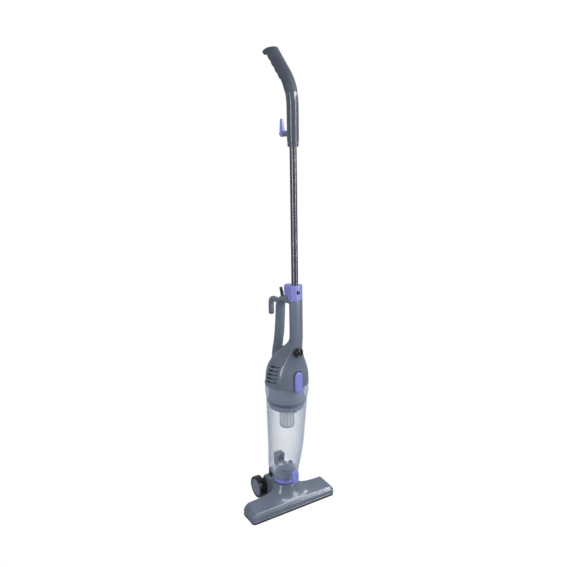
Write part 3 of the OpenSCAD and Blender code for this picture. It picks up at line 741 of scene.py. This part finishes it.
def louvre(build, side, row):
    """One exhaust groove round the flank: shallow at its front end, a deep slot at the back."""
    back, front = -13 + 2.4 * row, 30.5 + 0.8 * row
    rings = []
    steps = 22
    outside = 8
    for step in range(steps + 1):
        t = step / steps
        angle = back + (front - back) * t
        z = 361.5 + 10.3 * row + 5 * t
        centre = along_line([(station[0], station[1]) for station in BULB], z)
        radius = along_line([(station[0], station[2]) for station in BULB], z)
        depth = 9.5 - 6.4 * smooth((t - 0.30) / 0.18) if step else 6
        half_high = 2.3 - 0.5 * smooth((t - 0.3) / 0.3) - (0.8 if step in (0, steps) else 0)
        place = (Matrix.Translation((0, centre, z))
                 @ Matrix.Rotation(math.radians(-90 - side * (90 - angle)), 4, "Z")
                 @ Matrix.Translation((radius + (outside - depth) / 2, 0, 0))
                 @ Matrix.Rotation(math.radians(90), 4, "X"))
        rings.append((place, (outside + depth) / 2, half_high, 5.0))
    loft(build, rings, 24)


louvres = bmesh.new()
for side in (-1, 1):
    for row in range(5):
        louvre(louvres, side, row)
# The dark walls of the louvres, the button well and the switch hole are painted shade.
cut(housing, louvres, dark_abs_and_painted_recess_shade)
cut(housing, button_shape(bmesh.new(), BUTTON_W + 3.4, BUTTON_H + 3.4, 0.12, [(0, -12), (0, 12)],
                          upright(BUTTON_FRONT + 7, BUTTON_Z)), dark_abs_and_painted_recess_shade)
cut(housing, rod(bmesh.new(), 12.3, -6, 20, facing_front(-76, SWITCH_Z)), dark_abs_and_painted_recess_shade)
cut(housing, rod(bmesh.new(), 8.4, 562, 600, upright(WAND_Y, 0)))
dress(housing, slate_abs, "motor_unit", "slate_gloss", ["housing_left", "housing_right"], angle=32)
print("housing:", len(housing.data.polygons), "faces")

# %% [markdown]
# ## Collar
# The lilac collar ties the neck, the D-bar and the wand's socket together. In plan it is two lobes with a
# slight waist between them. Its top dips in a saddle and its lower edge rises towards the back, so the
# lobes are made straight, melted, and then their upper and lower halves are stretched to those two
# curves.

# %% Collar
COLLAR_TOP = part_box("collar")[1].z / MM
CATCH_Z = middle("tube_catch", Z)
CATCH_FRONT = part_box("tube_catch")[0].y / MM


def collar_lobes():
    foot_z, middle_z = 566, 590
    levels = ((foot_z, 0.5), (foot_z + 1, 0), (COLLAR_TOP - 1, 0), (COLLAR_TOP, 0.5))
    lobes = bmesh.new()
    for y, half_x, half_y, square in ((-66.5, 17, 13.6, 2.5), (-43.5, 14.5, 13.4, 2.3)):
        loft(lobes, [(upright(y, z), half_x - inset, half_y - inset, square) for z, inset in levels])
    loft(lobes, [(upright(-54, z), 13.4, 12, 8.0) for z in (foot_z, COLLAR_TOP)])
    item = clay(lobes, "collar_lobes", 0.8, 6)
    for vert in item.data.vertices:
        y, z = vert.co.y / MM, vert.co.z / MM
        if z > middle_z:
            top = min(COLLAR_TOP, 640 - math.sqrt(34 ** 2 - min(20.6, abs(y + 45)) ** 2))
            z = middle_z + (z - middle_z) * (top - middle_z) / (COLLAR_TOP - middle_z)
        else:
            low = 577 + 0.42 * max(0.0, min(28.0, y + 68))
            z = middle_z - (middle_z - z) * (middle_z - low) / (middle_z - foot_z)
        vert.co.z = z * MM
    return item


collar = collar_lobes()
cut(collar, rod(bmesh.new(), 8.3, 540, 640, upright(WAND_Y, 0)))
# The dark wall of the catch hole is painted shade.
cut(collar, rod(bmesh.new(), 4.5, -7.4, 9, facing_front(CATCH_FRONT + 1, CATCH_Z)), dark_abs_and_painted_recess_shade)
dress(collar, lilac_abs, "motor_unit", "lilac_gloss", ["collar"], angle=40)

catch = spun(bmesh.new(), [(0.01, -5), (3.9, -5), (3.9, 0), (3.6, 0.5), (2.6, 0.9), (1.4, 1.1), (0.01, 1.2)],
             facing_front(CATCH_FRONT + 1, CATCH_Z), 40)
piece(catch, "wand_catch", black_abs, "tube_catch", "black_plastic", ["tube_catch"])

# %% [markdown]
# ## Handle shells
# Above the tube two glossy half shells form a slim round handle. A short tapered ring closes their foot.
# The handle starts straight and runs into the bend, under the soft grip. A fine groove marks the parting
# line.

# %% Handle
RING_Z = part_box("handle_ring")[0].z / MM
HANDLE_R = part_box("handle_right")[1].x / MM
BEND_Z = 1015
BEND_R = 100


def on_bend(angle):
    """A place on the wand's middle line, angle degrees into its bend."""
    turn = math.radians(angle)
    return leaning(WAND_Y + BEND_R * (1 - math.cos(turn)), BEND_Z + BEND_R * math.sin(turn), angle)


ring_profile = rounded([(8.2, 0), (12.2, 0), (12.9, 9), (8.2, 9)], 0.9, 4)
ring = spun(bmesh.new(), ring_profile, upright(WAND_Y, RING_Z), 96)
# The handle foot takes the darker copy of slate ABS, which is painted shade.
piece(ring, "handle_foot", slate_abs_painted_shade, "wand", "slate_gloss", ["handle_ring"])


def handle_rings():
    rings = [(upright(WAND_Y, z), r, r, 2.0) for z, r in
             ((RING_Z + 9.5, 11.4), (RING_Z + 9.6, 12.3), (RING_Z + 10.2, 12.9), (RING_Z + 11, 13.1))]
    rings += [(upright(WAND_Y, z), HANDLE_R, HANDLE_R, 2.0) for z in range(950, BEND_Z, 8)]
    return rings + [(on_bend(angle), HANDLE_R, HANDLE_R, 2.0) for angle in range(0, 31, 3)]


handle = loft(bmesh.new(), handle_rings(), around=96)
for vert in handle.verts:
    if abs(vert.co.x) < 0.1 and vert.co.z > RING_Z + 10.5:
        line = WAND_Y
        if vert.co.z >= BEND_Z:
            line = WAND_Y + BEND_R - math.sqrt(BEND_R ** 2 - (vert.co.z - BEND_Z) ** 2)
        vert.co.y += 0.3 if vert.co.y < line else -0.3
handle_shell = as_object(handle, "handle_shell")
screw_wells = bmesh.new()
for y, z in ((-65, 992), (-62, 1038)):
    well_place = Matrix.Translation((11.2, y, z)) @ Matrix.Rotation(math.radians(90), 4, "Y")
    rod(screw_wells, 3.2, 0, 8, well_place, 32)
cut(handle_shell, screw_wells)
# The shells take the same darker copy of slate ABS, painted shade.
dress(handle_shell, slate_abs_painted_shade, "wand", "slate_gloss", ["handle_left", "handle_right"], angle=35)

# %% [markdown]
# ## Soft grip
# The grip is an egg-shaped sleeve: round on top, deeper underneath, where four shallow scallops take the
# fingers and a beak at the end stops the hand from slipping off. One function gives the depth underneath at
# each distance along the grip. The end is a slanted plane, and a pass as clay rounds its rim.

# %% Soft grip
GRIP_LOW, GRIP_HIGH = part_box("soft_grip")
GRIP_R = GRIP_HIGH.x / MM
GRIP_FOOT = GRIP_LOW.z / MM
GRIP_LEAN = 45
GRIP_LENGTH = 122


def grip_depth(along):
    """How deep the grip is underneath, at a distance along its straight part."""
    keel = GRIP_R + 3.9 * max(0.0, min(1.0, (along + 6) / 10))
    for scallop in range(4):
        offset = along - 14 - 21 * scallop
        keel -= 3.6 * math.exp(-(offset / 5.0) ** 2)
    return keel + 9.5 * smooth((along - 84) / 13)


def grip_section(place, along):
    """The egg-shaped section of the grip: round on top, deeper and a little narrower underneath."""
    under = grip_depth(along)

    def shape(number, c, s):
        narrow = 1 - 0.10 * (under / GRIP_R - 1) * max(0.0, s)
        return place @ Vector((GRIP_R * c * narrow, s * (under if s > 0 else GRIP_R), 0))
    return shape


def grip_sleeve():
    build = bmesh.new()
    places = [(on_bend(angle), -30) for angle in range(14, GRIP_LEAN, 3)]
    places += [(on_bend(GRIP_LEAN) @ Matrix.Translation((0, 0, along)), along)
               for along in range(0, GRIP_LENGTH, 2)]
    bridge(build, [add_ring(build, grip_section(*each), 72) for each in places], (False, False))
    slant = math.radians(8.2)
    for co, no in (((0, 18.8, GRIP_HIGH.z / MM - 1.9), (0, math.sin(slant), math.cos(slant))),
                   ((0, 0, GRIP_FOOT + 0.3), (0, 0, -1))):
        gone = bmesh.ops.bisect_plane(
            build, geom=build.verts[:] + build.edges[:] + build.faces[:], dist=0.001,
            plane_co=co, plane_no=no, clear_outer=True)
        rim = [edge for edge in gone["geom_cut"] if isinstance(edge, bmesh.types.BMEdge)]
        bmesh.ops.contextual_create(build, geom=rim)
    return clay(build, "grip_sleeve", 0.85, 5)


dress(grip_sleeve(), grip_tpe, "wand", "slate_matte", ["soft_grip"], angle=60)

# %% [markdown]
# ## Cord hooks
# The mains lead is wound between two hooks. The lower one is part of the housing: a bar that leaves the
# D-handle, turns down and ends rounded. The upper one swivels on a stub behind the handle to let the lead
# drop.

# %% Cord hooks
HOOK_Z = middle("hook_stub", Z)
rear_hook = sweep(bmesh.new(), [
    (6, 556.4, 6.2, 6.4), (20, 556.2, 6.2, 6.5), (34, 556.2, 6.2, 6.5), (42.5, 554, 6.2, 6.5),
    (47.6, 548, 6.4, 6.7), (49.2, 539, 6.5, 6.5), (49.2, 528, 6.5, 6.5), (49.2, 517, 6.4, 6.4),
    (49.2, 514, 6.0, 6.0), (49.2, 512.6, 4.8, 4.6), (49.2, 512.1, 2.6, 2.4)], square=2.7)
piece(rear_hook, "rear_hook", slate_abs, "motor_unit", "slate_gloss", ["fixed_cord_hook"], angle=50)

post_profile = rounded([
    (1.3, 19), (3, 19), (3, 29), (5, 29), (5, 33), (6.4, 33.4), (6.4, 51), (5, 51.4), (5, 53), (1.3, 53)],
    0.6, 3)
post = spun(bmesh.new(), post_profile, facing_front(0, HOOK_Z), 56)
piece(post, "hook_post", slate_satin_abs, "wand", "slate_gloss", ["hook_stub"])


def swivel_clay():
    hub_profile = rounded([(0.01, 16), (7, 16), (7, 28.6), (0.01, 28.6)], 1.2, 4)
    build = spun(bmesh.new(), hub_profile, facing_front(0, HOOK_Z), 56)
    # each station of the blade is (height above the hub, half width, half thickness)
    blade = [(-7.2, 2.0, 5.0), (-6.6, 3.8, 6.0), (-4, 5.8, 6.4), (0, 6.5, 6.4), (8, 6.0, 5.4),
             (16, 5.3, 4.5), (24, 4.5, 3.6), (28.6, 4.0, 3.1), (31.4, 3.0, 2.5), (33, 1.8, 1.5)]
    loft(build, [(upright(-14.1 - half_y, HOOK_Z + up), half_x, half_y, 2.4)
                 for up, half_x, half_y in blade], 48)
    return clay(build, "swivel_clay", 0.55, 5)


swivel = swivel_clay()
for sink_r, start, end in ((3.7, 8, 15.2), (3.1, 18.8, 40)):
    cut(swivel, rod(bmesh.new(), sink_r, start, end, facing_front(0, HOOK_Z), 40))
dress(swivel, lilac_abs, "cord_hook", "lilac_gloss", ["swivel_hook"], angle=40)

# %% [markdown]
# ## Buttons and switch
# Both lilac release buttons are waisted ovals with a crowned face, the upper one twice as long as a
# thumb. The power switch is a black round push button with a raised boss, in a black ring.

# %% Buttons and switch
HEAD_BUTTON_Z = middle("head_button", Z)
HEAD_BUTTON_BACK = -54.5
PRESS_BACK = -73
head_button = as_object(button_shape(
    bmesh.new(), extent("head_button", X), extent("head_button", Z), 0.07,
    [(0.3, 0), (0, 0.4), (0, 2.4), (0.5, 3.3), (1.5, 3.8), (3.5, 4.0), (6.5, 4.05)],
    upright(HEAD_BUTTON_BACK, HEAD_BUTTON_Z), 2.6), "head_release_button")
# the recess in its back is the seat of the spring
cut(head_button, rod(bmesh.new(), 6.2, -1, 2.4, facing_front(HEAD_BUTTON_BACK, HEAD_BUTTON_Z), 48))
dress(head_button, lilac_abs, "head_release", "lilac_gloss", ["head_button"], angle=50)

cup_button = button_shape(
    bmesh.new(), BUTTON_W, BUTTON_H, 0.13,
    [(0.4, -5), (0, -4.6), (0, 0.7), (0.6, 1.5), (1.8, 2.0), (4, 2.25), (8, 2.35)],
    upright(BUTTON_FRONT + 2.1, BUTTON_Z), 2.6)
piece(cup_button, "cup_release_button", lilac_abs, "cup_release", "lilac_gloss", ["cup_button"], angle=50)

bezel_profile = rounded([(9.8, 0), (12, 0), (12, 8.2), (11.2, 9), (10.4, 9), (9.8, 8.4)], 0.4, 3)
bezel = spun(bmesh.new(), bezel_profile, facing_front(SWITCH_BACK, SWITCH_Z), 72)
piece(bezel, "switch_ring", black_abs, "motor_unit", "slate_matte", ["switch_bezel"])
# the groove in its back is the seat of the spring
press_profile = [
    (0.01, -5), (3, -5), (3, 2.7), (7.7, 2.7), (7.7, 0), (9.3, 0), (9.3, 7.9), (8.9, 8.3), (7.6, 8.4),
    (6.9, 8.2), (6.4, 7.6), (4.9, 7.5), (4.6, 7.7), (4.4, 8.2), (3.6, 8.5), (2, 8.65), (0.01, 8.7)]
press = spun(bmesh.new(), press_profile, facing_front(PRESS_BACK, SWITCH_Z), 72)
piece(press, "power_press", black_abs, "power_button", "black_plastic", ["power_button"], angle=40)

# %% [markdown]
# ## Cord boot and side clips
# The strain relief is a ribbed rubber boot that leans back from the top of the D-handle, with the bore
# for the lead down its middle. Two black clips on the cup's sides lock it to the floor head.

# %% Cord boot and side clips
BOOT_PLACE = leaning(-10, 567, 21)
boot_profile = [(2.9, -4), (4.1, -4), (4.1, 7.6)]
for rib in range(6):
    foot_z, r = 8.4 + 3.4 * rib, 4.6 - 0.12 * rib
    boot_profile += [(3.7, foot_z - 0.3), (r - 0.3, foot_z), (r, foot_z + 0.4), (r, foot_z + 1.4),
                     (r - 0.3, foot_z + 1.8), (3.6 - 0.05 * rib, foot_z + 2.1)]
boot_profile += [(3.4, 28.0), (3.2, 28.5), (2.9, 28.6)]
boot = spun(bmesh.new(), boot_profile, BOOT_PLACE, 48)
piece(boot, "strain_relief", black_rubber, "motor_unit", "black_rubber", ["cord_boot"], angle=40)

clips = bmesh.new()
for side in (-1, 1):
    slab(clips, (7, 12, 22), 1.4, Matrix.Translation((side * 31, 17, 86)))
    slab(clips, (5, 9, 7), 0.8, Matrix.Translation((side * 31, 17, 76)))
    for rib in range(4):
        slab(clips, (1.2, 9, 1.2), 0.4, Matrix.Translation((side * 34.6, 17, 80 + 4 * rib)), 2)
piece(clips, "cup_clips", black_abs, "dust_cup", "black_plastic", ["side_clips"], angle=40)

# %% [markdown]
# ## The working parts
# The parts inside keep the exact CAD shapes. Those seen through the clear cup get a softened copy: the
# loose triangles are merged, flat areas dissolved to whole faces, and the sharp edges bevelled, as
# moulding does. Everything else takes a material straight on the CAD node.

# %% Working parts
FINISH = {
    "slate_gloss": slate_abs, "slate_matte": dark_abs_and_painted_recess_shade, "lilac_gloss": lilac_abs, "clear_cup": clear_pc,
    "grey_plastic": grey_abs, "black_plastic": black_abs, "black_rubber": black_rubber,
    "tyre_rubber": tyre_rubber, "tube_steel": tube_steel, "steel": zinc_steel, "fan_metal": fan_aluminium,
    "filter_media": fleece, "foam": foam, "nylon_bristle": nylon, "lint_fabric": lint_pile,
}
BODY_OF = {node: body for body, nodes in frame["record"]["behaviour"]["bodies"].items() for node in nodes}
SLOT_OF = {part["node"]: part["material_slot"] for part in frame["record"]["subparts"]}


def soften_copy(node, width):
    """A bevelled, smooth copy of a CAD node, which it then stands for."""
    build = bmesh.new()
    build.from_mesh(frame["nodes"][node].data)
    bmesh.ops.remove_doubles(build, verts=build.verts, dist=0.00002)
    bmesh.ops.dissolve_limit(build, angle_limit=math.radians(1.5), verts=build.verts, edges=build.edges)
    mesh = bpy.data.meshes.new(node + "_soft")
    build.to_mesh(mesh)
    build.free()
    mesh.materials.clear()
    item = bpy.data.objects.new(node + "_soft", mesh)
    scene.collection.objects.link(item)
    soft = item.modifiers.new("soft edges", "BEVEL")
    soft.width = width * MM
    soft.segments = 2
    soft.limit_method = "ANGLE"
    soft.angle_limit = math.radians(40)
    apply_modifiers(item)
    return dress(item, FINISH[SLOT_OF[node]], BODY_OF[node], SLOT_OF[node], [node], angle=30)


def clear_dome(item):
    """Makes the round front of the inlet duct clear, so that the throat of the spigot shows through it."""
    item.data.materials.append(clear_pc)
    for face in item.data.polygons:
        if face.center.y < 15.5 * MM:
            face.material_index = 1


clear_dome(soften_copy("inlet_duct", 0.5))

# %% [markdown]
# ## Filter
# The filter shows through the cup. The fleece is a ring whose radius runs in and out to make the pleats,
# and a fine pale cage of twelve bars holds it between a rim and a rounded cup at its foot.

# %% Filter
FRAME_LOW, FRAME_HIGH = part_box("filter_frame")
FILTER_Y = middle("filter_frame", Y)
FILTER_FOOT, FILTER_TOP = FRAME_LOW.z / MM, FRAME_HIGH.z / MM
PLEAT = (17.4, 16.8, 15.4, 16.8)
BARS = 12


def pleated(z):
    def shape(number, c, s):
        r = PLEAT[number % len(PLEAT)]
        return Vector((c * r, FILTER_Y + s * r, z))
    return shape


fleece_roll = bmesh.new()
bridge(fleece_roll, [add_ring(fleece_roll, pleated(z), 144) for z in (FILTER_FOOT + 3.2, FILTER_TOP - 4.2)])
piece(fleece_roll, "pleated_fleece", fleece, "filter", "filter_media", ["filter_pleats"], angle=50)

cage_profile = [
    (0.01, 0), (14, 0.2), (17.4, 1.6), (19.0, 4.4), (19.4, 7.5), (18.6, 7.9), (17.8, 7.4), (17.6, 3.6),
    (0.01, 3.0)]
cage = spun(bmesh.new(), cage_profile, upright(FILTER_Y, FILTER_FOOT), 72)
spun(cage, rounded([(17.5, -6), (19.4, -6), (19.4, 0), (17.5, 0)], 0.5, 2), upright(FILTER_Y, FILTER_TOP), 72)
for bar in range(BARS):
    place = (upright(FILTER_Y, (FILTER_TOP + FILTER_FOOT) / 2)
             @ Matrix.Rotation(math.radians(360 / BARS * bar), 4, "Z") @ Matrix.Translation((18.3, 0, 0)))
    slab(cage, (1.4, 1.2, FILTER_TOP - FILTER_FOOT - 10), 0.3, place, 2)
piece(cage, "filter_cage", pale_abs, "filter", "grey_plastic", ["filter_frame"], angle=40)

# %% [markdown]
# The other parts near the outside get softened copies too. Then every CAD node takes its material,
# whether or not a new piece stands for it.

# %% Softened copies and CAD materials
for node, width in (("spigot", 0.4), ("sole_plate", 0.4), ("bumper_strip", 0.6), ("filter_base", 0.4)):
    soften_copy(node, width)
for node, item in frame["nodes"].items():
    for holder in item.material_slots:
        holder.material = FINISH[SLOT_OF[node]]

# %% [markdown]
# ## Stage and light
# The vacuum stands free in front of plain white, as in a catalogue. The camera sees white, while the
# surfaces see a grey room that is lighter above. Two tall narrow soft boxes draw the long vertical
# highlights that show how round and how glossy the handle, the wand and the neck are, and a wide one
# above lights the floor head.

# %% Stage and light
world = bpy.data.worlds.new("white studio")
scene.world = world
world.use_nodes = True
nodes = world.node_tree.nodes
sky_place = add_node(world, "ShaderNodeTexCoord", {})
split = add_node(world, "ShaderNodeSeparateXYZ", {"Vector": (sky_place, "Generated")})
height = add_node(world, "ShaderNodeMapRange", {"Value": (split, "Z"), "From Min": -1})
grey_room = two_tones(world, (height, "Result"), "#9aa0ab", "#d7dbe3", 0.25, 0.9)
link(world, grey_room, nodes["Background"], "Color")
nodes["Background"].inputs["Strength"].default_value = 0.85
backdrop = add_node(world, "ShaderNodeBackground", {"Color": linear("#ffffff")})
seen = add_node(world, "ShaderNodeLightPath", {})
choose = add_node(world, "ShaderNodeMixShader", {
    "Fac": (seen, "Is Camera Ray"), 1: (nodes["Background"], "Background"), 2: (backdrop, "Background")})
link(world, (choose, "Shader"), nodes["World Output"], "Surface")


def soft_box(name, place, aim, width, height, power):
    """A rectangular area light in metres and watts, turned towards its aim."""
    lamp = bpy.data.lights.new(name, "AREA")
    lamp.shape = "RECTANGLE"
    lamp.size, lamp.size_y, lamp.energy = width, height, power
    item = bpy.data.objects.new(name, lamp)
    turn = (Vector(aim) - Vector(place)).to_track_quat("-Z", "Y")
    item.matrix_world = Matrix.Translation(place) @ turn.to_matrix().to_4x4()
    scene.collection.objects.link(item)


soft_box("left softbox", (-1.9, -0.9, 0.9), (0, 0, 0.6), 0.16, 1.9, 22)
soft_box("right softbox", (1.2, -1.9, 0.9), (0, 0, 0.6), 0.16, 1.9, 22)
soft_box("top softbox", (1.2, -1.1, 1.8), (0, 0, 0.1), 2.2, 0.4, 34)
